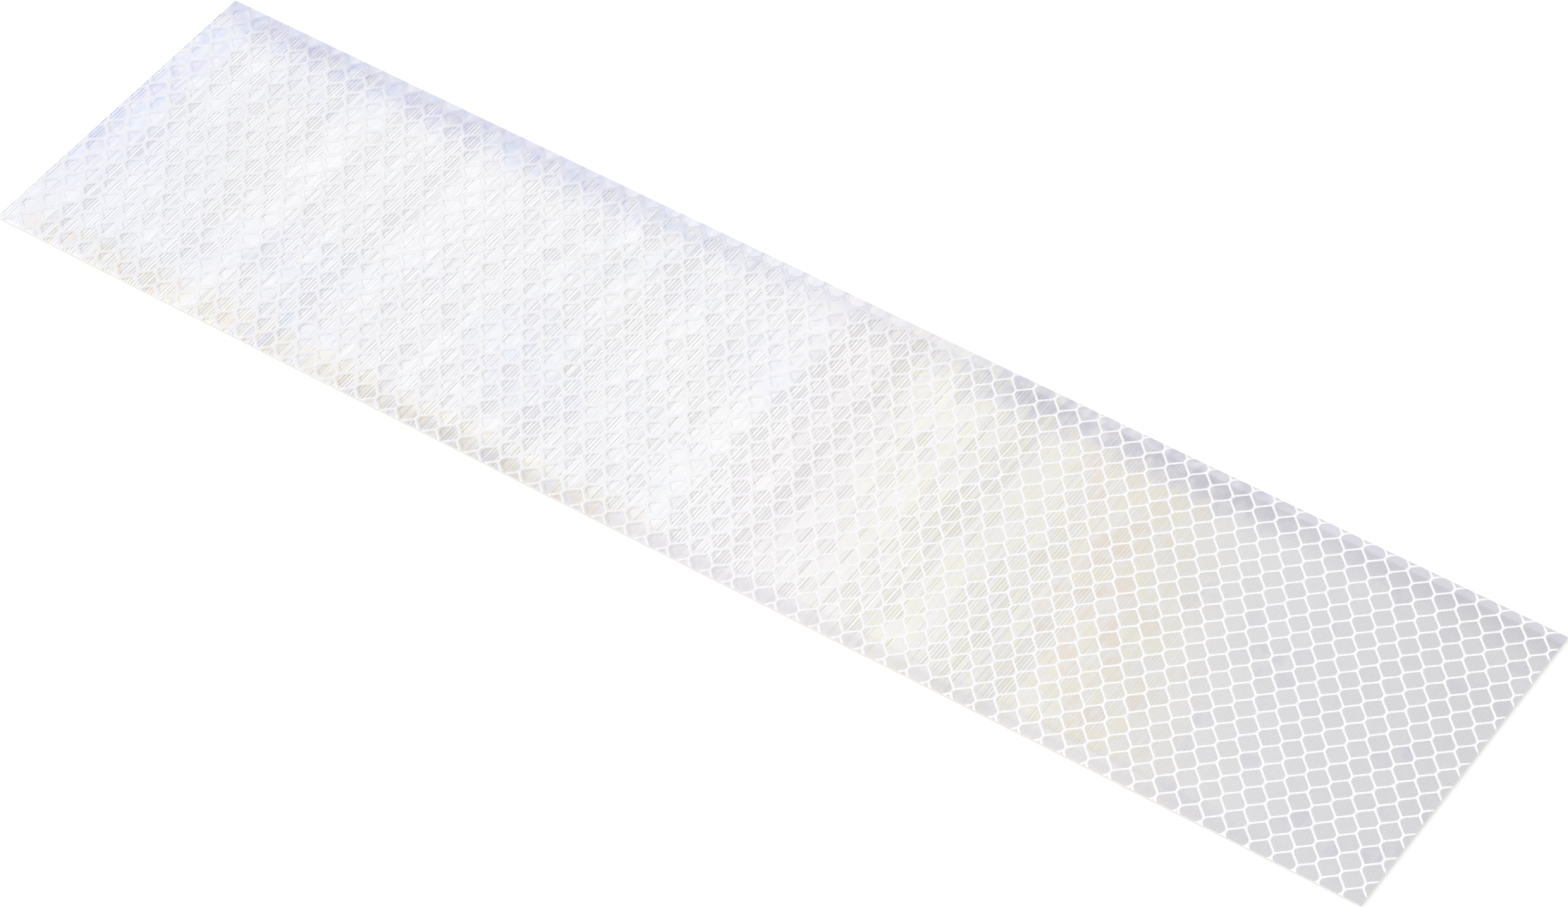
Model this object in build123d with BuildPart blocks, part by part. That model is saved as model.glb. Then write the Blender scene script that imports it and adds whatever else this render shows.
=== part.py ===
"""Self-adhesive retroreflective marking strip: a flat laminate on its release liner.

Millimetres. The origin is the middle of the underside, +X runs along the strip, +Y across it,
and +Z points out of the reflecting face. The layers are stacked flat, bottom to top: release
liner, adhesive, white backing film, white seal net, prism film, clear face film. The seal net's
cells and the prism film's rows of teeth are finer than these solids go: each layer is solid,
with its true outline and thickness.
"""

import os

from build123d import *

# Outline of the cut strip
strip_length = 200.0
strip_width = 50.0

# Layer thicknesses, bottom to top
liner_thickness = 0.10
adhesive_thickness = 0.08
backing_thickness = 0.07
net_thickness = 0.05
prism_thickness = 0.17
face_thickness = 0.10

# Rounding that the slitting knife leaves along the long edges of the face
slit_radius = 0.06

# Height of each layer's underside: every layer lies on the one below
adhesive_bottom = liner_thickness
backing_bottom = adhesive_bottom + adhesive_thickness
net_bottom = backing_bottom + backing_thickness
prism_bottom = net_bottom + net_thickness
face_bottom = prism_bottom + prism_thickness

# Release liner: silicone-coated paper, peeled off before the strip is stuck down
with BuildPart() as release_liner:
    with BuildSketch(Plane.XY):
        Rectangle(strip_length, strip_width)
    extrude(amount=liner_thickness)
release_liner.part.label = "release_liner"

# Adhesive: the tacky layer that stays on the strip
with BuildPart() as adhesive_layer:
    with BuildSketch(Plane.XY.offset(adhesive_bottom)):
        Rectangle(strip_length, strip_width)
    extrude(amount=adhesive_thickness)
adhesive_layer.part.label = "adhesive_layer"

# Backing film: white, closes the air cells from below
with BuildPart() as backing_film:
    with BuildSketch(Plane.XY.offset(backing_bottom)):
        Rectangle(strip_length, strip_width)
    extrude(amount=backing_thickness)
backing_film.part.label = "backing_film"

# Seal net: the heat-seal coat whose ribs hold the prisms clear of the backing
with BuildPart() as seal_net:
    with BuildSketch(Plane.XY.offset(net_bottom)):
        Rectangle(strip_length, strip_width)
    extrude(amount=net_thickness)
seal_net.part.label = "seal_net"

# Prism film: clear, with its rows of prisms on the underside
with BuildPart() as prism_film:
    with BuildSketch(Plane.XY.offset(prism_bottom)):
        Rectangle(strip_length, strip_width)
    extrude(amount=prism_thickness)
prism_film.part.label = "prism_film"

# Face film: the clear weather-proof skin, its long top edges rounded by the knife
with BuildPart() as face_film:
    with BuildSketch(Plane.XY.offset(face_bottom)):
        Rectangle(strip_length, strip_width)
    extrude(amount=face_thickness)
    top_edges = face_film.faces().sort_by(Axis.Z)[-1].edges()
    fillet(top_edges.filter_by(Axis.X), radius=slit_radius)
face_film.part.label = "face_film"

os.makedirs("parts", exist_ok=True)
export_step(release_liner.part, "parts/release_liner.step")
export_step(adhesive_layer.part, "parts/adhesive_layer.step")
export_step(backing_film.part, "parts/backing_film.step")
export_step(seal_net.part, "parts/seal_net.step")
export_step(prism_film.part, "parts/prism_film.step")
export_step(face_film.part, "parts/face_film.step")
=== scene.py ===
"""Looks of a retroreflective marking strip: clear face film, ruled prism film, white seal net."""

import math

import bmesh
import bpy
import numpy as np
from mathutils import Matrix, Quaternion, Vector


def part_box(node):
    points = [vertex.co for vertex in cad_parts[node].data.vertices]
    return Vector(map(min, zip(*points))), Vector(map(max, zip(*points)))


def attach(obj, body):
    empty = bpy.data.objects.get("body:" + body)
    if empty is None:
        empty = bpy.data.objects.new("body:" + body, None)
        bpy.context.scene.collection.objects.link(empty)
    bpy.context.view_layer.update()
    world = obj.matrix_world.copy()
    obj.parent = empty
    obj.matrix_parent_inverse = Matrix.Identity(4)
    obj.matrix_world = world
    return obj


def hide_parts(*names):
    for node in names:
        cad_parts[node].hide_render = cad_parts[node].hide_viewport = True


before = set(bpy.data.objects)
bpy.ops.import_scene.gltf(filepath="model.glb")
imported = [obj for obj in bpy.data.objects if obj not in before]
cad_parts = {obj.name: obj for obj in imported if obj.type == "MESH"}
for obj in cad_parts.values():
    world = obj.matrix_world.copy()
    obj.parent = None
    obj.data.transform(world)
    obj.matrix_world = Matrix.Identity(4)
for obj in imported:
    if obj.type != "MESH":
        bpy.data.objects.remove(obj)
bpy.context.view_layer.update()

MM = 0.001

# Outline of the strip and heights of its layers, in millimetres, from the frame
low, high = [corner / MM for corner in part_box("face_film")]
HALF_LENGTH = (high.x - low.x) / 2
HALF_WIDTH = (high.y - low.y) / 2
FACE_TOP = high.z
FACE_BOTTOM = low.z
BACKING_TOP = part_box("backing_film")[1].z / MM

# Seal net: six-sided cells in staggered rows, their points across the strip
CELL_PITCH = 3.15
ROW_PITCH = 2.189
RIB_WIDTH = 0.33
SIDE_WALL = 0.76
NET_SKEW = math.radians(-0.43)
NET_SHIFT = (-0.14, 0.295)
RIB_CROWN = 0.012
FACE_SAG = 0.006

# Prism rows, parallel to the short edges; their points along a row lie close together at the slit edges
PRISM_PITCH = 0.2275
PRISM_RELIEF = 0.03
PRISM_MIDDLE = 8.0
LIP_STEPS = (0, 0.1, 0.25, 0.4, 0.7, 1.0, 1.2)

# Gap between one film and the next, so that no two surfaces lie in one plane
FILM_GAP = 0.004
EDGE_INSET = 0.02

# The slit long edges are pressed down: how wide the pressed margins are, where the wide front corner
# starts and ends along X, how much height the edge keeps, and how the press fades
FRONT_LIP = 0.4
CORNER_LIP = 1.2
CORNER_START = 78.0
CORNER_END = 90.0
BACK_LIP = 0.4
LIP_KEEP = 0.55
LIP_CURVE = 1.3

# Camera: it looks at a point on the face from the front right, a little above half way up
AIM = (5.9, -3.1)
CAMERA_AZIMUTH = 32.58
CAMERA_ELEVATION = 46.39
CAMERA_DISTANCE = 715.3
CAMERA_ROLL = 1.4
CAMERA_CLIP = (0.01, 20.0)
LENS = 133.55
SENSOR = 36.0

# Light tent and one broad lamp: its place and size in metres, its energy in watts
TENT_WHITE = (1.0, 1.0, 1.0, 1.0)
TENT_STRENGTH = 1.0
LAMP_PLACE = (-0.75, -0.45, 0.8)
LAMP_SIZE = (0.9, 0.7)
LAMP_ENERGY = 4.0

# Board under the strip, in millimetres
BOARD_HALF = 3000.0
BOARD_DROP = 0.02

# Prism film, lines of painted shade on the prisms: how much light each kind takes away, at the left and at
# the right
FINE_LINE_SHADE = (0.14, 0.30)
COARSE_LINE_SHADE = (0.36, 0.03)
# Each pair of prisms has a painted highlight on its crest, of its own strength, measured from a middle level
CREST_LEAST = 0.35
CREST_SPREAD = 0.9
CREST_MIDDLE = 0.33
# How much light a shoulder, a dotted line, a patch, a cell and a streak take away at most; the shoulder and
# the dotted line are painted shade, the streaks painted light and shade
SHOULDER_SHADE = 0.07
DOT_SHADE = 0.21
PATCH_DARK = 0.03
CELL_DARK = 0.03
STREAK_SHADE = 0.055
PRISM_WHITE = 0.96

# Prism film, patterns: how far a band leans along X for each mm across, the patterns' sizes, and how far
# apart the cells' own patterns lie
BAND_SLANT = 0.4
STREAKS_PER_MM = 0.16
CELL_STREAKS_PER_MM = 1.3
SPOTS_PER_MM = 0.42
CLOUDS_PER_MM = 0.045
CLOUD_SHARE = 0.42
CELL_SHIFT = 90.0

# Seal net: its whiteness, and how much light its teeth and its mottle take away
NET_WHITE = 0.975
TEETH_DARK = 0.10
MOTTLE_DARK = 0.05
MOTTLE_PER_MM = 1.6

# Adhesive and liner: sizes of the coating ripple, the paper cloud and the fibres; heights in mm
RIPPLES_PER_MM = 0.35
RIPPLE_HEIGHT = 0.02
PAPER_CLOUDS_PER_MM = 0.30
FIBRE_HEIGHT = 0.03


# ---------------------------------------------------------------- camera, light and floor


def make_camera():
    """The camera, aimed at a point on the face and rolled slightly."""
    azimuth, elevation = math.radians(CAMERA_AZIMUTH), math.radians(CAMERA_ELEVATION)
    away = Vector((
        math.sin(azimuth) * math.cos(elevation),
        -math.cos(azimuth) * math.cos(elevation),
        math.sin(elevation),
    ))
    data = bpy.data.cameras.new("camera")
    data.sensor_width = SENSOR
    data.lens = LENS
    data.clip_start, data.clip_end = CAMERA_CLIP
    camera = bpy.data.objects.new("camera", data)
    bpy.context.scene.collection.objects.link(camera)
    camera.rotation_mode = "QUATERNION"
    aim = Vector((AIM[0], AIM[1], FACE_TOP)) * MM
    camera.location = aim + away * CAMERA_DISTANCE * MM
    roll = Quaternion((0, 0, 1), math.radians(CAMERA_ROLL))
    camera.rotation_quaternion = (-away).to_track_quat("-Z", "Y") @ roll
    bpy.context.scene.camera = camera


def make_light():
    """A bright tent all round, with one broad lamp at the front left for the direction of the light."""
    world = bpy.data.worlds.new("light_tent")
    bpy.context.scene.world = world
    world.use_nodes = True
    background = world.node_tree.nodes["Background"]
    background.inputs["Color"].default_value = TENT_WHITE
    background.inputs["Strength"].default_value = TENT_STRENGTH
    data = bpy.data.lights.new("broad_lamp", "AREA")
    data.shape = "RECTANGLE"
    data.size, data.size_y = LAMP_SIZE
    data.energy = LAMP_ENERGY
    lamp = bpy.data.objects.new("broad_lamp", data)
    bpy.context.scene.collection.objects.link(lamp)
    lamp.location = LAMP_PLACE
    lamp.rotation_mode = "QUATERNION"
    lamp.rotation_quaternion = (-lamp.location).to_track_quat("-Z", "Y")
    bpy.context.scene.view_settings.view_transform = "Standard"


# ---------------------------------------------------------------- node helpers


def linear(code):
    """An sRGB hex colour as linear RGBA."""
    values = [int(code[i:i + 2], 16) / 255 for i in (1, 3, 5)]
    return [v / 12.92 if v <= 0.04045 else ((v + 0.055) / 1.055) ** 2.4 for v in values] + [1.0]


def add(tree, kind, inputs=None, stops=None, **settings):
    """Adds one node with its settings. An input is a value, a socket, or a node, for its first output."""
    node = tree.nodes.new("ShaderNode" + kind)
    for name, value in settings.items():
        setattr(node, name, value)
    if stops:
        elements = node.color_ramp.elements
        for place, code in stops:
            elements.new(place).color = linear(code)
        elements.remove(elements[-1])
        elements.remove(elements[0])
    for key, value in (inputs or {}).items():
        if isinstance(value, bpy.types.Node):
            value = next(out for out in value.outputs if out.enabled)
        if isinstance(value, bpy.types.NodeSocket):
            tree.links.new(value, node.inputs[key])
        else:
            node.inputs[key].default_value = value
    return node


def new_material(name):
    """An empty node material: the material, its tree and its output node."""
    material = bpy.data.materials.new(name)
    material.use_nodes = True
    material.node_tree.nodes.clear()
    return material, material.node_tree, material.node_tree.nodes.new("ShaderNodeOutputMaterial")


def zone(tree, value, rise, full, fall=None, gone=None):
    """1 where the value lies between full and fall, easing to 0 at rise and at gone."""
    up = add(tree, "MapRange", {0: value, 1: rise, 2: full}, interpolation_type="SMOOTHSTEP")
    if fall is None:
        return up
    down = add(tree, "MapRange", {0: value, 1: gone, 2: fall}, interpolation_type="SMOOTHSTEP")
    return add(tree, "Math", {0: up, 1: down}, operation="MULTIPLY")


def tint(tree, base, amount, code):
    """Multiplies a colour by a tint, by the amount given."""
    return add(tree, "Mix", {0: amount, 6: base, 7: linear(code)}, data_type="RGBA", blend_type="MULTIPLY")


def strip_place(tree):
    """Place on the strip in mm, as a vector, and its X and Y."""
    place = add(tree, "TexCoord").outputs["Object"]
    mm = add(tree, "VectorMath", {0: place, "Scale": 1 / MM}, operation="SCALE")
    split = add(tree, "SeparateXYZ", {0: mm})
    return mm, split.outputs["X"], split.outputs["Y"]


def cell_grid(tree, mm):
    """Each cell's random node, the way along X from its middle, and the distance to the nearest rib."""
    moved = add(tree, "VectorMath", {0: mm, 1: (*NET_SHIFT, 0)}, operation="SUBTRACT")
    turned = add(tree, "VectorRotate", {"Vector": moved, "Angle": -NET_SKEW}, rotation_type="Z_AXIS")
    counts = []
    for sign in (-1, 1):
        steps = (1 / CELL_PITCH, sign / (2 * ROW_PITCH), 0)
        share = add(tree, "VectorMath", {0: turned, 1: steps}, operation="DOT_PRODUCT")
        counts.append(add(tree, "Math", {0: share}, operation="ROUND"))
    number = add(tree, "CombineXYZ", {0: counts[0], 1: counts[1]})
    noise = add(tree, "TexWhiteNoise", {"Vector": number}, noise_dimensions="2D")
    total = add(tree, "Math", {0: counts[0], 1: counts[1]}, operation="ADD")
    rows = add(tree, "Math", {0: counts[1], 1: counts[0]}, operation="SUBTRACT")
    centre = add(tree, "CombineXYZ", {0: total, 1: rows})
    centre = add(tree, "VectorMath", {0: centre, 1: (CELL_PITCH / 2, ROW_PITCH, 0)}, operation="MULTIPLY")
    inside = add(tree, "VectorMath", {0: turned, 1: centre}, operation="SUBTRACT")
    away = add(tree, "SeparateXYZ", {0: add(tree, "VectorMath", {0: inside}, operation="ABSOLUTE")})
    tip = ROW_PITCH - SIDE_WALL / 2
    lean = math.atan2(tip - SIDE_WALL / 2, CELL_PITCH / 2)
    side = add(tree, "Math", {0: CELL_PITCH / 2, 1: away.outputs["X"]}, operation="SUBTRACT")
    reach = add(tree, "Math", {0: away.outputs["X"], 1: -math.sin(lean), 2: tip * math.cos(lean)},
                operation="MULTIPLY_ADD")
    slant = add(tree, "Math", {0: away.outputs["Y"], 1: -math.cos(lean), 2: reach}, operation="MULTIPLY_ADD")
    wall = add(tree, "Math", {0: side, 1: slant}, operation="MINIMUM")
    return noise, add(tree, "SeparateXYZ", {0: inside}).outputs["X"], wall


def ruling(tree, x, pitch):
    """A line across the strip at each step of the pitch: 1 on the line, 0 half way between."""
    turns = add(tree, "Math", {0: x, 1: 2 * math.pi / pitch}, operation="MULTIPLY")
    wave = add(tree, "Math", {0: turns}, operation="COSINE")
    return add(tree, "Math", {0: wave, 1: 0.5, 2: 0.5}, operation="MULTIPLY_ADD")


# ---------------------------------------------------------------- shape helpers


def pressed(points):
    """Presses the layers above the backing film down along the slit long edges. Points are in mm."""
    x, y, z = points[:, 0], points[:, 1], points[:, 2]
    along = np.clip((x - CORNER_START) / (CORNER_END - CORNER_START), 0, 1)
    along = along * along * (3 - 2 * along)
    front = FRONT_LIP + (CORNER_LIP - FRONT_LIP) * along
    share = np.clip(1 - (y + HALF_WIDTH) / front, 0, 1)
    share = np.maximum(share, np.clip(1 - (HALF_WIDTH - y) / BACK_LIP, 0, 1))
    keep = 1 - (1 - LIP_KEEP) * share ** LIP_CURVE
    moved = points.copy()
    moved[:, 2] = np.where(z > BACKING_TOP, BACKING_TOP + (z - BACKING_TOP) * keep, z)
    return moved


def piece(name, points, faces, material):
    """A mesh object from points in mm and faces."""
    mesh = bpy.data.meshes.new(name)
    mesh.from_pydata((points * MM).tolist(), [], faces)
    mesh.materials.append(material)
    made = bpy.data.objects.new(name, mesh)
    bpy.context.scene.collection.objects.link(made)
    return made


def stands_for(made, node):
    """The piece takes a layer's place, and moves with the strip."""
    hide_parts(node)
    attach(made, "strip")


def cell_rings():
    """Matching rings of points: the tile's six-sided edge, and the cell's edge with rounded sides."""
    half_wall = SIDE_WALL / 2
    tip = ROW_PITCH - half_wall
    lean = math.atan2(tip - half_wall, CELL_PITCH / 2)
    cell_tip = tip - RIB_WIDTH / 2 / math.cos(lean)
    cell_side = (CELL_PITCH - RIB_WIDTH) / 2
    arc_x = (cell_tip * math.cos(lean) - cell_side) / (math.sin(lean) - 1)
    arc_r = cell_side - arc_x
    turn = math.pi / 2 - lean
    arc = [(arc_x + arc_r * math.cos(t), arc_r * math.sin(t)) for t in (turn, turn / 2, 0)]
    slant = (arc[0][0] / 2, (arc[0][1] + cell_tip) / 2)
    shoulder = (CELL_PITCH / 2, half_wall)
    thirds = [(shoulder[0] * t, tip + (shoulder[1] - tip) * t) for t in (1 / 3, 2 / 3)]
    rings = []
    for quarter in ([(0, tip), *thirds, shoulder, (CELL_PITCH / 2, 0)], [(0, cell_tip), slant, *arc]):
        half = quarter + [(x, -y) for x, y in quarter[-2::-1]]
        rings.append(np.array(half + [(-x, y) for x, y in half[-2:0:-1]]))
    return rings


def tile_centres():
    """Centres of every tile that touches the strip."""
    rows = math.ceil(HALF_WIDTH / ROW_PITCH) + 2
    columns = math.ceil(HALF_LENGTH / CELL_PITCH) + 2
    centres = []
    for row in range(-rows, rows + 1):
        for column in range(-columns, columns + 1):
            along = (column + 0.5 * (row % 2)) * CELL_PITCH
            across = row * ROW_PITCH
            x = NET_SHIFT[0] + along * math.cos(NET_SKEW) - across * math.sin(NET_SKEW)
            y = NET_SHIFT[1] + along * math.sin(NET_SKEW) + across * math.cos(NET_SKEW)
            if abs(x) < HALF_LENGTH + CELL_PITCH / 2 and abs(y) < HALF_WIDTH + ROW_PITCH:
                centres.append((x, y))
    return np.array(centres)


def tiled(name, loops, material, cap=None, underside=None):
    """A sheet of tiles cut to the strip. Each loop is a ring and its height, top first.

    A cap closes the first loop with a middle point at that height. An underside makes the sheet solid
    down to that height.
    """
    turn = np.array([[math.cos(NET_SKEW), math.sin(NET_SKEW)], [-math.sin(NET_SKEW), math.cos(NET_SKEW)]])
    count = len(loops[0][0])
    rings = [np.column_stack([ring @ turn, np.full(count, z)]) for ring, z in loops]
    ring = np.arange(count)
    following = np.roll(ring, -1)
    band = np.stack([ring, following, count + following, count + ring], -1)
    sides = [band + k * count for k in range(len(loops) - 1)]
    if cap is not None:
        rings.append(np.array([[0, 0, cap]]))
        middle = np.full(count, len(loops) * count)
        sides.append(np.stack([middle, ring, following, following], -1))
    tile = np.concatenate(rings)
    quads = np.concatenate(sides)
    centres = tile_centres()
    points = np.repeat(tile[None], len(centres), 0)
    points[:, :, :2] += centres[:, None, :]
    points = points.reshape(-1, 3)
    starts = np.arange(len(centres))[:, None, None] * len(tile)
    first, merged = np.unique(np.round(points, 4), axis=0, return_index=True, return_inverse=True)[1:]
    merged = merged.ravel()
    faces = [list(dict.fromkeys(face)) for face in merged[(starts + quads[None]).reshape(-1, 4)].tolist()]
    made = piece(name, points[first], faces, material)
    trim(made, underside)
    return made


def loose_scraps(bm):
    """Points of the small scraps that a cut at the strip's outline left on their own."""
    left = set(bm.verts)
    groups = []
    while left:
        group = [left.pop()]
        for vertex in group:
            near = {edge.other_vert(vertex) for edge in vertex.link_edges} & left
            left -= near
            group.extend(near)
        groups.append(group)
    groups.sort(key=len)
    return [vertex for group in groups[:-1] for vertex in group]


def trim(made, underside):
    """Cuts a sheet to the strip's outline, closes its sides and presses the long edges down."""
    bm = bmesh.new()
    bm.from_mesh(made.data)
    cuts = [((sign * HALF_LENGTH, 0, 0), (sign, 0, 0), True) for sign in (-1, 1)]
    cuts += [((0, sign * HALF_WIDTH, 0), (0, sign, 0), True) for sign in (-1, 1)]
    creases = [margin - HALF_WIDTH for margin in (FRONT_LIP / 3, FRONT_LIP, CORNER_LIP)]
    creases.append(HALF_WIDTH - BACK_LIP)
    cuts += [((0, y, 0), (0, 1, 0), False) for y in creases]
    for spot, normal, outside in cuts:
        geometry = bm.verts[:] + bm.edges[:] + bm.faces[:]
        bmesh.ops.bisect_plane(
            bm, geom=geometry, dist=1e-8, plane_co=Vector(spot) * MM, plane_no=normal, clear_outer=outside
        )
    if underside is None:
        bmesh.ops.holes_fill(bm, edges=[edge for edge in bm.edges if edge.is_boundary], sides=0)
        bmesh.ops.delete(bm, geom=loose_scraps(bm), context="VERTS")
    else:
        upper_faces = bm.faces[:]
        rim = [edge.verts[:] for edge in bm.edges if edge.is_boundary]
        below = {vertex: bm.verts.new((vertex.co.x, vertex.co.y, underside * MM)) for vertex in bm.verts[:]}
        for face in upper_faces:
            bm.faces.new([below[vertex] for vertex in reversed(face.verts)])
        for start, end in rim:
            bm.faces.new((start, end, below[end], below[start]))
    bmesh.ops.recalc_face_normals(bm, faces=bm.faces[:])
    bm.to_mesh(made.data)
    bm.free()
    spots = np.zeros(len(made.data.vertices) * 3)
    made.data.vertices.foreach_get("co", spots)
    made.data.vertices.foreach_set("co", (pressed(spots.reshape(-1, 3) / MM) * MM).ravel())
    made.data.update()


# ---------------------------------------------------------------- pieces


def make_prism_film(material):
    """The prism film: a sheet ruled with rows of teeth, seen through the clear face."""
    edge_x, edge_y = HALF_LENGTH - EDGE_INSET, HALF_WIDTH - EDGE_INSET
    steps = 2 * int(2 * edge_x // PRISM_PITCH)
    crests = (np.arange(steps + 1) - steps / 2) * PRISM_PITCH / 2
    xs = np.concatenate([[-edge_x], crests, [edge_x]])
    valley = np.concatenate([[0], (np.arange(steps + 1) - steps // 2) % 2, [0]])
    ys = [step - edge_y for step in LIP_STEPS]
    ys += [-PRISM_MIDDLE, PRISM_MIDDLE]
    ys += [edge_y - step for step in LIP_STEPS[4::-1]]
    top = np.repeat((FACE_BOTTOM - 2 * FILM_GAP - PRISM_RELIEF * valley)[:, None], len(ys), axis=1)
    gx, gy = np.meshgrid(xs, ys, indexing="ij")
    upper = np.stack([gx.ravel(), gy.ravel(), top.ravel()], 1)
    lower = np.stack([gx.ravel(), gy.ravel(), np.full(gx.size, BACKING_TOP + FILM_GAP)], 1)
    index = np.arange(gx.size).reshape(gx.shape)
    quads = np.stack([index[:-1, :-1], index[1:, :-1], index[1:, 1:], index[:-1, 1:]], -1).reshape(-1, 4)
    rim = np.concatenate([index[:, 0], index[-1, 1:], index[-2::-1, -1], index[0, -2:0:-1]])
    following = np.roll(rim, -1)
    sides = np.stack([rim, rim + gx.size, following + gx.size, following], -1)
    faces = np.concatenate([quads, quads[:, ::-1] + gx.size, sides]).tolist()
    made = piece("prism_rows", pressed(np.concatenate([upper, lower])), faces, material)
    made.data.shade_flat()
    stands_for(made, "prism_film")


def make_net(material):
    """The seal net: ribs with a low crown round cells of air, cut square at the strip's edges."""
    outer, inner = cell_rings()
    top = FACE_BOTTOM - FILM_GAP
    bottom = BACKING_TOP + FILM_GAP / 2
    loops = [(outer, top), (inner, top - RIB_CROWN), (inner, bottom), (outer, bottom)]
    made = tiled("net_ribs", loops, material)
    made.data.shade_flat()
    stands_for(made, "seal_net")


def make_face_film(material):
    """The clear face film: a little lower over the ribs, where the heat seal drew it in."""
    outer, inner = cell_rings()
    loops = [(inner, FACE_TOP - FACE_SAG / 2), (outer, FACE_TOP - FACE_SAG)]
    made = tiled("face_sheet", loops, material, cap=FACE_TOP, underside=FACE_BOTTOM)
    stands_for(made, "face_film")


# ---------------------------------------------------------------- materials


def clear_film():
    """Clear acrylic film, cast: see-through, with a soft gloss that grows at low angles."""
    material, tree, out = new_material("clear_acrylic_film")
    facing = add(tree, "LayerWeight", {"Blend": 0.5}).outputs["Facing"]
    steep = add(tree, "Math", {0: facing, 1: 4.0}, operation="POWER")
    share = add(tree, "Math", {0: steep, 1: 0.2, 2: 0.025}, operation="MULTIPLY_ADD")
    clear = add(tree, "BsdfTransparent", {"Color": (1, 1, 1, 1)})
    gloss = add(tree, "BsdfGlossy", {"Roughness": 0.2, "Color": (1, 1, 1, 1)})
    film = add(tree, "MixShader", {0: share, 1: clear, 2: gloss})
    tree.links.new(film.outputs[0], out.inputs["Surface"])
    return material


def prism_film():
    """Clear polycarbonate film, cast with rows of prisms: silvery and ruled, with painted light and shade on
    its rows and painted rainbow reflections in places.
    """
    material, tree, out = new_material("ruled_polycarbonate_film")
    mm, x, y = strip_place(tree)
    slope = add(tree, "Math", {0: y, 1: BAND_SLANT, 2: x}, operation="MULTIPLY_ADD")
    place = (mm, x, y, slope)
    noise, inside, wall = cell_grid(tree, mm)
    cell_value = noise.outputs["Value"]
    cell_split = add(tree, "SeparateColor", {0: noise.outputs["Color"]})
    cell_shift = add(tree, "Math", {0: cell_value, 1: CELL_SHIFT, 2: x}, operation="MULTIPLY_ADD")
    cell = (cell_value, cell_split.outputs[1], cell_split.outputs[2], cell_shift)
    bright = painted_row_light(tree, place, cell, inside, wall)
    tone = painted_iridescence(tree, place, cell, tone_with_painted_reflection(tree, place))
    colour = add(tree, "VectorMath", {0: tone, "Scale": bright}, operation="SCALE")
    colour = add(tree, "VectorMath", {0: colour, "Scale": PRISM_WHITE}, operation="SCALE")
    shader = add(tree, "BsdfPrincipled", {"Base Color": colour, "Roughness": 0.45, "IOR": 1.3})
    tree.links.new(shader.outputs[0], out.inputs["Surface"])
    return material


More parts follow.
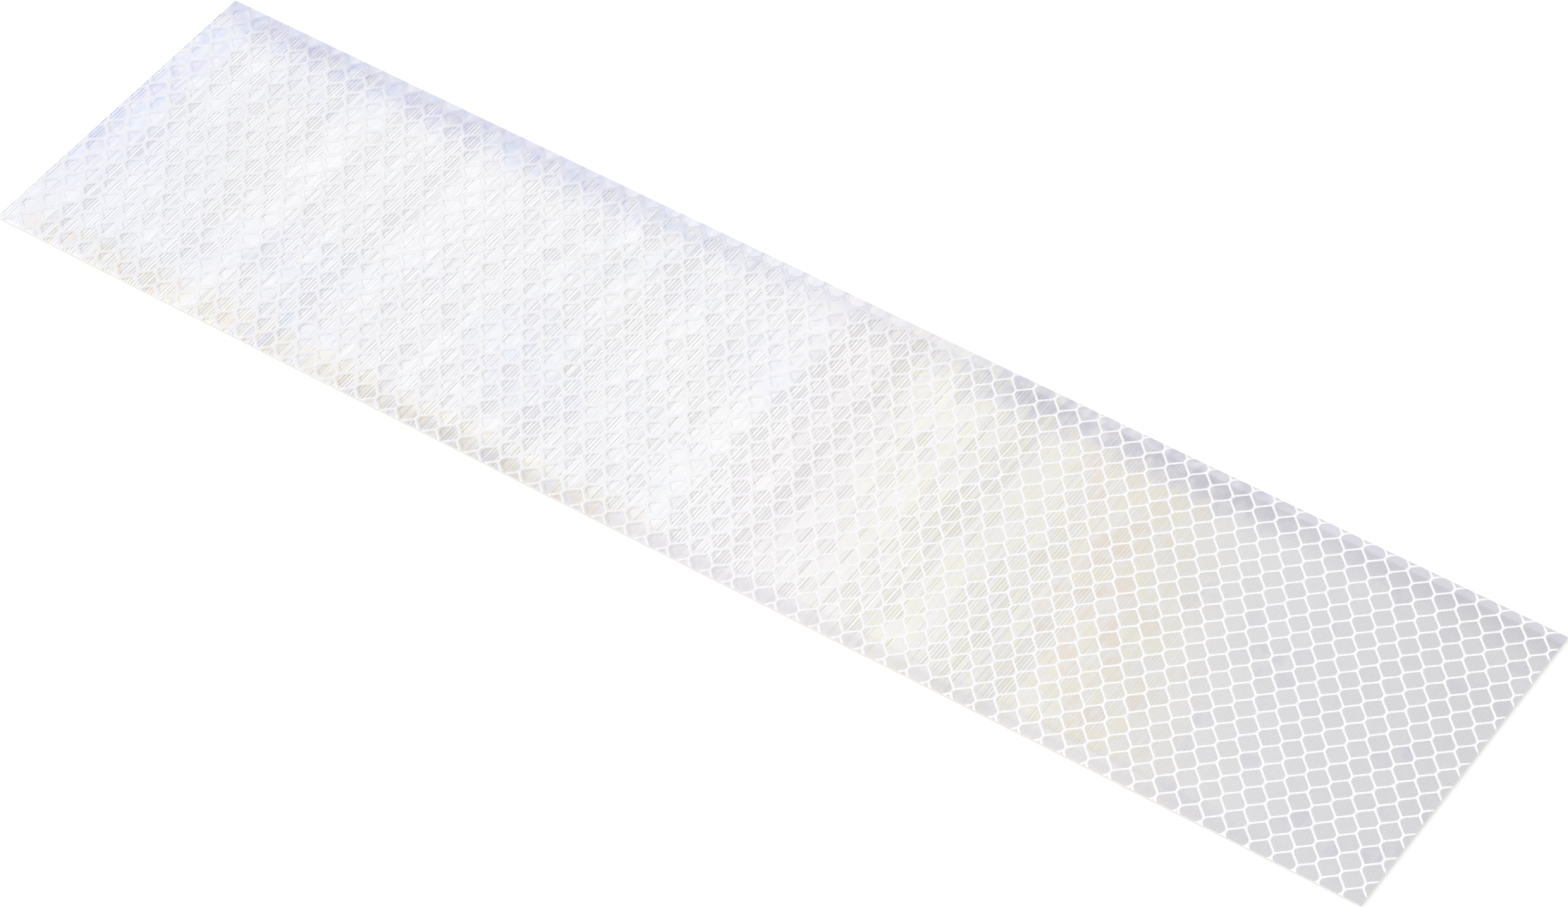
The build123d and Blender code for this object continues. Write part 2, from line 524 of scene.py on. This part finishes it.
def painted_row_light(tree, place, cell, inside, wall):
    """How bright the rows of prisms are, as painted light and shade: streaks, coarse and fine lines, and a
    step at each rib.
    """
    _, x, y, slope = place
    _, cell_second, cell_third, cell_shift = cell
    right = zone(tree, slope, 14.0, 74.0)
    middle = zone(tree, slope, -4.0, 6.0, 34.0, 52.0)

    # Rows differ a little in depth, all along the strip; each cell sags its own way and shows it differently,
    # as painted light and shade
    shared = add(tree, "TexNoise", {"W": x, "Scale": STREAKS_PER_MM, "Detail": 3.0}, noise_dimensions="1D")
    own = add(
        tree, "TexNoise", {"W": cell_shift, "Scale": CELL_STREAKS_PER_MM, "Detail": 1.0},
        noise_dimensions="1D",
    )
    both = add(tree, "Mix", {0: 0.42, 2: shared, 3: own}, data_type="FLOAT")
    lean = add(tree, "Math", {0: cell_second, 1: 0.08, 2: both}, operation="MULTIPLY_ADD")
    coarse = add(tree, "MapRange", {0: lean, 1: 0.47, 2: 0.59}, interpolation_type="SMOOTHSTEP")
    patch = add(tree, "MapRange", {0: lean, 1: 0.545, 2: 0.65}, interpolation_type="SMOOTHSTEP")

    # Painted shade: a fine line at each prism, and a coarse one with a painted highlight on its crest at each
    # second prism
    fine_line = ruling(tree, x, PRISM_PITCH)
    fine_depth = add(tree, "Mix", {0: right, 2: FINE_LINE_SHADE[0], 3: FINE_LINE_SHADE[1]}, data_type="FLOAT")
    painted_fine_shade = add(tree, "Math", {0: fine_line, 1: fine_depth}, operation="MULTIPLY")
    coarse_line = ruling(tree, x, 2 * PRISM_PITCH)
    coarse_depth = add(tree, "Mix", {0: right, 2: COARSE_LINE_SHADE[0], 3: COARSE_LINE_SHADE[1]}, data_type="FLOAT")
    coarse_depth = add(tree, "Math", {0: coarse, 1: coarse_depth}, operation="MULTIPLY")
    pair = add(tree, "Math", {0: x, 1: 1 / (2 * PRISM_PITCH)}, operation="MULTIPLY")
    pair_number = add(tree, "Math", {0: pair}, operation="ROUND")
    pair_noise = add(tree, "TexWhiteNoise", {"W": pair_number}, noise_dimensions="1D")
    pair_depth = add(tree, "Math", {0: pair_noise, 1: CREST_SPREAD, 2: CREST_LEAST}, operation="MULTIPLY_ADD")
    crest_highlight = add(tree, "Math", {0: coarse_line, 1: 3.0}, operation="POWER")
    crest_highlight = add(tree, "Math", {0: crest_highlight, 1: pair_depth}, operation="MULTIPLY")
    coarse_shape = add(tree, "Math", {0: CREST_MIDDLE, 1: crest_highlight}, operation="SUBTRACT")
    painted_coarse_shade = add(tree, "Math", {0: coarse_depth, 1: coarse_shape}, operation="MULTIPLY")
    lines = add(tree, "Math", {0: painted_fine_shade, 1: painted_coarse_shade}, operation="ADD")

    # The slit edges show no lines: all along the back, and in two stretches at the front
    plain_places = zone(tree, x, -30.0, -5.0, 62.0, 84.0)
    plain_front = add(tree, "Math", {0: zone(tree, y, -22.4, -23.2), 1: plain_places}, operation="MULTIPLY")
    plain = add(tree, "Math", {0: plain_front, 1: zone(tree, y, 23.2, 23.9)}, operation="MAXIMUM")
    lined_share = add(tree, "Math", {0: 1.0, 1: plain}, operation="SUBTRACT")
    lines = add(tree, "Math", {0: lines, 1: lined_share}, operation="MULTIPLY")

    # At the left, painted shade at the step from rib to cell: a plain shaded shoulder, then a dotted line of
    # shade
    left = zone(tree, x, 26.0, 0.0)
    shaded_step_side = add(tree, "Math", {0: zone(tree, inside, 0.2, -0.2), 1: left}, operation="MULTIPLY")
    shoulder = add(tree, "Math", {0: shaded_step_side, 1: zone(tree, wall, 0.40, 0.28)}, operation="MULTIPLY")
    lines = add(tree, "Mix", {0: shoulder, 2: lines, 3: SHOULDER_SHADE}, data_type="FLOAT")
    dotted_shade_band = zone(tree, wall, 0.34, 0.46, 0.54, 0.68)
    dot_shade = add(tree, "Math", {0: shaded_step_side, 1: dotted_shade_band}, operation="MULTIPLY")
    dot_shade = add(tree, "Math", {0: dot_shade, 1: fine_line}, operation="MULTIPLY")

    # Darker patches in the middle, single darker cells, and streaks of painted light and shade that fade out
    # to the right
    patch_dark = add(tree, "Math", {0: patch, 1: middle}, operation="MULTIPLY")
    patch_dark = add(tree, "Math", {0: patch_dark, 1: PATCH_DARK}, operation="MULTIPLY")
    dark = add(tree, "Math", {0: lines, 1: patch_dark}, operation="ADD")
    dark = add(tree, "Math", {0: cell_third, 1: CELL_DARK, 2: dark}, operation="MULTIPLY_ADD")
    streak_shade = add(tree, "MapRange", {0: lean, 1: 0.375, 2: 0.705, 3: -STREAK_SHADE, 4: STREAK_SHADE})
    streak_shade = add(tree, "Math", {0: streak_shade, 1: zone(tree, slope, 60.0, 20.0)}, operation="MULTIPLY")
    calm = add(tree, "Math", {0: middle, 1: -0.4, 2: 1.0}, operation="MULTIPLY_ADD")
    streak_shade = add(tree, "Math", {0: streak_shade, 1: calm}, operation="MULTIPLY")
    dark = add(tree, "Math", {0: dark, 1: streak_shade}, operation="ADD")
    dark = add(tree, "Math", {0: dot_shade, 1: DOT_SHADE, 2: dark}, operation="MULTIPLY_ADD")
    return add(tree, "Math", {0: 1.0, 1: dark}, operation="SUBTRACT")


def tone_with_painted_reflection(tree, place):
    """The film's tone without its rainbow: cool white at the left, warmer past the middle, then greyer; this
    fall from left to right is painted reflection of the light.
    """
    _, x, y, slope = place
    share = add(tree, "MapRange", {0: slope, 1: -HALF_LENGTH, 2: HALF_LENGTH})
    tone = add(tree, "ValToRGB", {0: share}, stops=[
        (0.02, "#f0f1f7"), (0.12, "#f4f4f6"), (0.45, "#f6f6f7"), (0.515, "#f8f7f8"), (0.53, "#f5f3f4"),
        (0.62, "#f5f4f2"), (0.67, "#f0efed"), (0.73, "#f3f1ef"), (0.80, "#edeceb"),
        (0.90, "#e5e4e8"), (0.99, "#e1e0e3"),
    ])
    # Painted shade along the back edge, half as strong a little left of the middle
    pale_part = zone(tree, x, -50.0, -20.0, 5.0, 30.0)
    back_edge_shade = add(tree, "Math", {0: pale_part, 1: -0.5, 2: 1.0}, operation="MULTIPLY_ADD")
    back_edge_shade = add(tree, "Math", {0: zone(tree, y, 17.5, 24.5), 1: back_edge_shade}, operation="MULTIPLY")
    tone = tint(tree, tone, back_edge_shade, "#efeff4")
    # Painted shade along the front edge, fading out towards both ends
    front_part = zone(tree, x, -70.0, -20.0, 60.0, 95.0)
    front_lip_shade = add(tree, "Math", {0: zone(tree, y, -21.5, -24.0), 1: front_part}, operation="MULTIPLY")
    return tint(tree, tone, front_lip_shade, "#ebe9ec")


def painted_iridescence(tree, place, cell, tone):
    """Adds the rainbow tints as painted iridescence, the colours of the light that the prisms reflect:
    patches smaller than a cell, with a break at each rib.
    """
    mm, x, y, slope = place
    cell_value, cell_second, cell_third, cell_shift = cell
    patch_place = add(tree, "CombineXYZ", {0: x, 1: y, 2: cell_shift})
    spots = add(
        tree, "TexNoise", {"Vector": patch_place, "Scale": SPOTS_PER_MM, "Detail": 1.5},
        noise_dimensions="3D",
    )
    spot = add(tree, "MapRange", {0: spots, 1: 0.25, 2: 0.70}, interpolation_type="SMOOTHSTEP")
    back_rows = zone(tree, y, 16.5, 22.5)

    # Blue and violet: along the back, at the left end, and in clouds over the left half
    drift = add(
        tree, "TexNoise", {"Vector": mm, "Scale": CLOUDS_PER_MM, "Detail": 2.0}, noise_dimensions="2D"
    )
    cloud = add(tree, "MapRange", {0: drift, 1: 0.46, 2: 0.70}, interpolation_type="SMOOTHSTEP")
    end_rows = zone(tree, y, -22.0, -5.0)
    left_end = add(tree, "Math", {0: zone(tree, x, -92.0, -98.0), 1: end_rows}, operation="MULTIPLY")
    cool_back = add(tree, "Math", {0: back_rows, 1: zone(tree, x, 30.0, -60.0)}, operation="MULTIPLY")
    cool_cloud = add(tree, "Math", {0: cloud, 1: zone(tree, x, 24.0, -6.0)}, operation="MULTIPLY")
    cool_cloud = add(tree, "Math", {0: cool_cloud, 1: CLOUD_SHARE}, operation="MULTIPLY")
    cool = add(tree, "Math", {0: cool_back, 1: cool_cloud}, operation="MAXIMUM")
    cool = add(tree, "Math", {0: cool, 1: left_end}, operation="MAXIMUM")
    cool = add(tree, "Math", {0: cool, 1: spot}, operation="MULTIPLY")
    violet_share = zone(tree, cell_second, 0.45, 0.75)
    cool_colour = add(
        tree, "Mix", {0: violet_share, 6: linear("#e9efff"), 7: linear("#eeedff")}, data_type="RGBA"
    )
    tone = add(tree, "Mix", {0: cool, 6: tone, 7: cool_colour}, data_type="RGBA", blend_type="MULTIPLY")

    # Gold and orange: in the front row at the left, and in a band across the strip right of the middle
    front_row = zone(tree, y, -19.6, -22.2)
    front_part = zone(tree, x, -99.0, -94.0, -10.0, 4.0)
    warm_front = add(tree, "Math", {0: front_row, 1: front_part}, operation="MULTIPLY")
    warm_band = zone(tree, slope, 36.0, 49.0, 54.0, 68.0)
    off_edges = zone(tree, y, -23.5, -21.5, 18.0, 22.0)
    warm_band = add(tree, "Math", {0: warm_band, 1: off_edges}, operation="MULTIPLY")
    warm = add(tree, "Math", {0: warm_front, 1: warm_band}, operation="MAXIMUM")
    warm_spot = add(tree, "MapRange", {0: spots, 1: 0.66, 2: 0.40}, interpolation_type="SMOOTHSTEP")
    warm = add(tree, "Math", {0: warm, 1: warm_spot}, operation="MULTIPLY")
    orange_share = zone(tree, cell_third, 0.60, 0.95)
    warm_colour = add(
        tree, "Mix", {0: orange_share, 6: linear("#fffcf0"), 7: linear("#fff6ed")}, data_type="RGBA"
    )
    tone = add(tree, "Mix", {0: warm, 6: tone, 7: warm_colour}, data_type="RGBA", blend_type="MULTIPLY")

    # Lemon left of the gold band, a trace of pink, navy at the back right, and odd bluish cells at the right
    lemon_spot = add(tree, "MapRange", {0: spots, 1: 0.52, 2: 0.42}, interpolation_type="SMOOTHSTEP")
    lemon_band = zone(tree, slope, 8.0, 24.0, 36.0, 48.0)
    lemon = add(tree, "Math", {0: lemon_band, 1: lemon_spot}, operation="MULTIPLY")
    tone = tint(tree, tone, lemon, "#fffef6")
    pink = add(tree, "Math", {0: zone(tree, x, 1.0, 4.0, 10.0, 16.0), 1: spot}, operation="MULTIPLY")
    tone = tint(tree, tone, pink, "#fffdfe")
    navy_part = zone(tree, x, 10.0, 24.0, 52.0, 70.0)
    navy = add(tree, "Math", {0: back_rows, 1: navy_part}, operation="MULTIPLY")
    navy = add(tree, "Math", {0: navy, 1: spot}, operation="MULTIPLY")
    tone = tint(tree, tone, navy, "#e5e5f1")
    odd_cells = zone(tree, cell_value, 0.84, 0.97)
    odd = add(tree, "Math", {0: zone(tree, slope, 50.0, 66.0), 1: odd_cells}, operation="MULTIPLY")
    odd = add(tree, "Math", {0: odd, 1: spot}, operation="MULTIPLY")
    return tint(tree, tone, odd, "#f5f5fc")


def white_net():
    """White polyester heat-seal coat, embossed: matt and bright, its edges toothed where prisms cross it."""
    material, tree, out = new_material("white_heat_seal_coat")
    mm, x, y = strip_place(tree)
    inside, wall = cell_grid(tree, mm)[1:]
    share = add(tree, "MapRange", {0: x, 1: -HALF_LENGTH, 2: HALF_LENGTH})
    tone = add(tree, "ValToRGB", {0: share}, stops=[
        (0.02, "#e7e7ec"), (0.12, "#e9e9ee"), (0.45, "#eeedf0"),
        (0.60, "#f2f1f3"), (0.80, "#f6f5f7"), (0.99, "#f7f7f9"),
    ])
    cool_part = zone(tree, x, 30.0, -10.0)
    cool_back = add(tree, "Math", {0: zone(tree, y, 20.0, 24.5), 1: cool_part}, operation="MULTIPLY")
    tone = tint(tree, tone, cool_back, "#e6e7f2")
    mottle = add(
        tree, "TexNoise", {"Vector": mm, "Scale": MOTTLE_PER_MM, "Detail": 3.0}, noise_dimensions="2D"
    )
    mottle = add(tree, "MapRange", {0: mottle, 1: 0.3, 2: 0.7, 3: 0.0, 4: MOTTLE_DARK})
    left = zone(tree, x, 26.0, 0.0)
    far_side = zone(tree, inside, 0.25, -0.25)
    shaded = add(tree, "Math", {0: far_side, 1: left}, operation="MULTIPLY")
    depth = add(tree, "Math", {0: shaded, 1: -TEETH_DARK / 2, 2: TEETH_DARK}, operation="MULTIPLY_ADD")
    edge = zone(tree, wall, 0.30 * RIB_WIDTH, 0.55 * RIB_WIDTH)
    teeth = add(tree, "Math", {0: edge, 1: ruling(tree, x, PRISM_PITCH)}, operation="MULTIPLY")
    teeth = add(tree, "Math", {0: teeth, 1: depth}, operation="MULTIPLY")
    dark = add(tree, "Math", {0: teeth, 1: mottle}, operation="ADD")
    bright = add(tree, "Math", {0: NET_WHITE, 1: dark}, operation="SUBTRACT")
    colour = add(tree, "VectorMath", {0: tone, "Scale": bright}, operation="SCALE")
    shader = add(tree, "BsdfPrincipled", {"Base Color": colour, "Roughness": 0.6, "IOR": 1.3})
    tree.links.new(shader.outputs[0], out.inputs["Surface"])
    return material


def white_backing():
    """White polyester film, opaque and satin: a faint calender grain along the strip."""
    material, tree, out = new_material("white_polyester_backing")
    mm = strip_place(tree)[0]
    stretched = add(tree, "VectorMath", {0: mm, 1: (0.25, 2.0, 2.0)}, operation="MULTIPLY")
    grain = add(tree, "TexNoise", {"Vector": stretched, "Scale": 1.0, "Detail": 3.0}, noise_dimensions="3D")
    colour = add(tree, "ValToRGB", {0: grain}, stops=[(0.3, "#e4e4e6"), (0.7, "#ececee")])
    shader = add(tree, "BsdfPrincipled", {"Base Color": colour, "Roughness": 0.45})
    tree.links.new(shader.outputs[0], out.inputs["Surface"])
    return material


def acrylic_adhesive():
    """Clear acrylic adhesive, coated: faintly yellow, wet-looking, with a coating ripple."""
    material, tree, out = new_material("acrylic_adhesive")
    mm = strip_place(tree)[0]
    ripple = add(
        tree, "TexNoise", {"Vector": mm, "Scale": RIPPLES_PER_MM, "Detail": 2.0}, noise_dimensions="3D"
    )
    colour = add(tree, "ValToRGB", {0: ripple}, stops=[(0.3, "#e3e1d6"), (0.7, "#eae8e0")])
    bump = add(tree, "Bump", {"Height": ripple, "Strength": 0.25, "Distance": RIPPLE_HEIGHT * MM})
    shader = add(
        tree, "BsdfPrincipled", {"Base Color": colour, "Roughness": 0.22, "IOR": 1.47, "Normal": bump}
    )
    tree.links.new(shader.outputs[0], out.inputs["Surface"])
    return material


def siliconed_paper():
    """Bleached kraft paper with a silicone coat: satin and creamy, with paper cloud and fibres."""
    material, tree, out = new_material("siliconed_kraft_paper")
    mm = strip_place(tree)[0]
    cloud = add(
        tree, "TexNoise", {"Vector": mm, "Scale": PAPER_CLOUDS_PER_MM, "Detail": 4.0}, noise_dimensions="3D"
    )
    colour = add(tree, "ValToRGB", {0: cloud}, stops=[
        (0.32, "#d9d6cb"), (0.5, "#dedbd1"), (0.68, "#e2dfd6"),
    ])
    along = add(tree, "VectorMath", {0: mm, 1: (0.8, 5.0, 5.0)}, operation="MULTIPLY")
    fibre = add(tree, "TexNoise", {"Vector": along, "Scale": 1.0, "Detail": 5.0}, noise_dimensions="3D")
    bump = add(tree, "Bump", {"Height": fibre, "Strength": 0.35, "Distance": FIBRE_HEIGHT * MM})
    shader = add(tree, "BsdfPrincipled", {"Base Color": colour, "Roughness": 0.5, "Normal": bump})
    tree.links.new(shader.outputs[0], out.inputs["Surface"])
    return material


def matt_board():
    """Painted board, matt: the pale floor that the strip lies on."""
    material, tree, out = new_material("matt_painted_board")
    shader = add(tree, "BsdfDiffuse", {"Color": linear("#fcfcfc")})
    tree.links.new(shader.outputs[0], out.inputs["Surface"])
    return material


def make_floor():
    """A pale matt board under the strip."""
    corners = np.array([(-1, -1, 0), (1, -1, 0), (1, 1, 0), (-1, 1, 0)]) * BOARD_HALF
    floor = piece("floor", corners, [(0, 1, 2, 3)], matt_board())
    floor.location.z = -BOARD_DROP * MM


make_camera()
make_light()
make_floor()
make_prism_film(prism_film())
make_net(white_net())
make_face_film(clear_film())
plain_layers = {
    "backing_film": white_backing(),
    "adhesive_layer": acrylic_adhesive(),
    "release_liner": siliconed_paper(),
}
for node, material in plain_layers.items():
    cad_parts[node].data.materials.clear()
    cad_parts[node].data.materials.append(material)
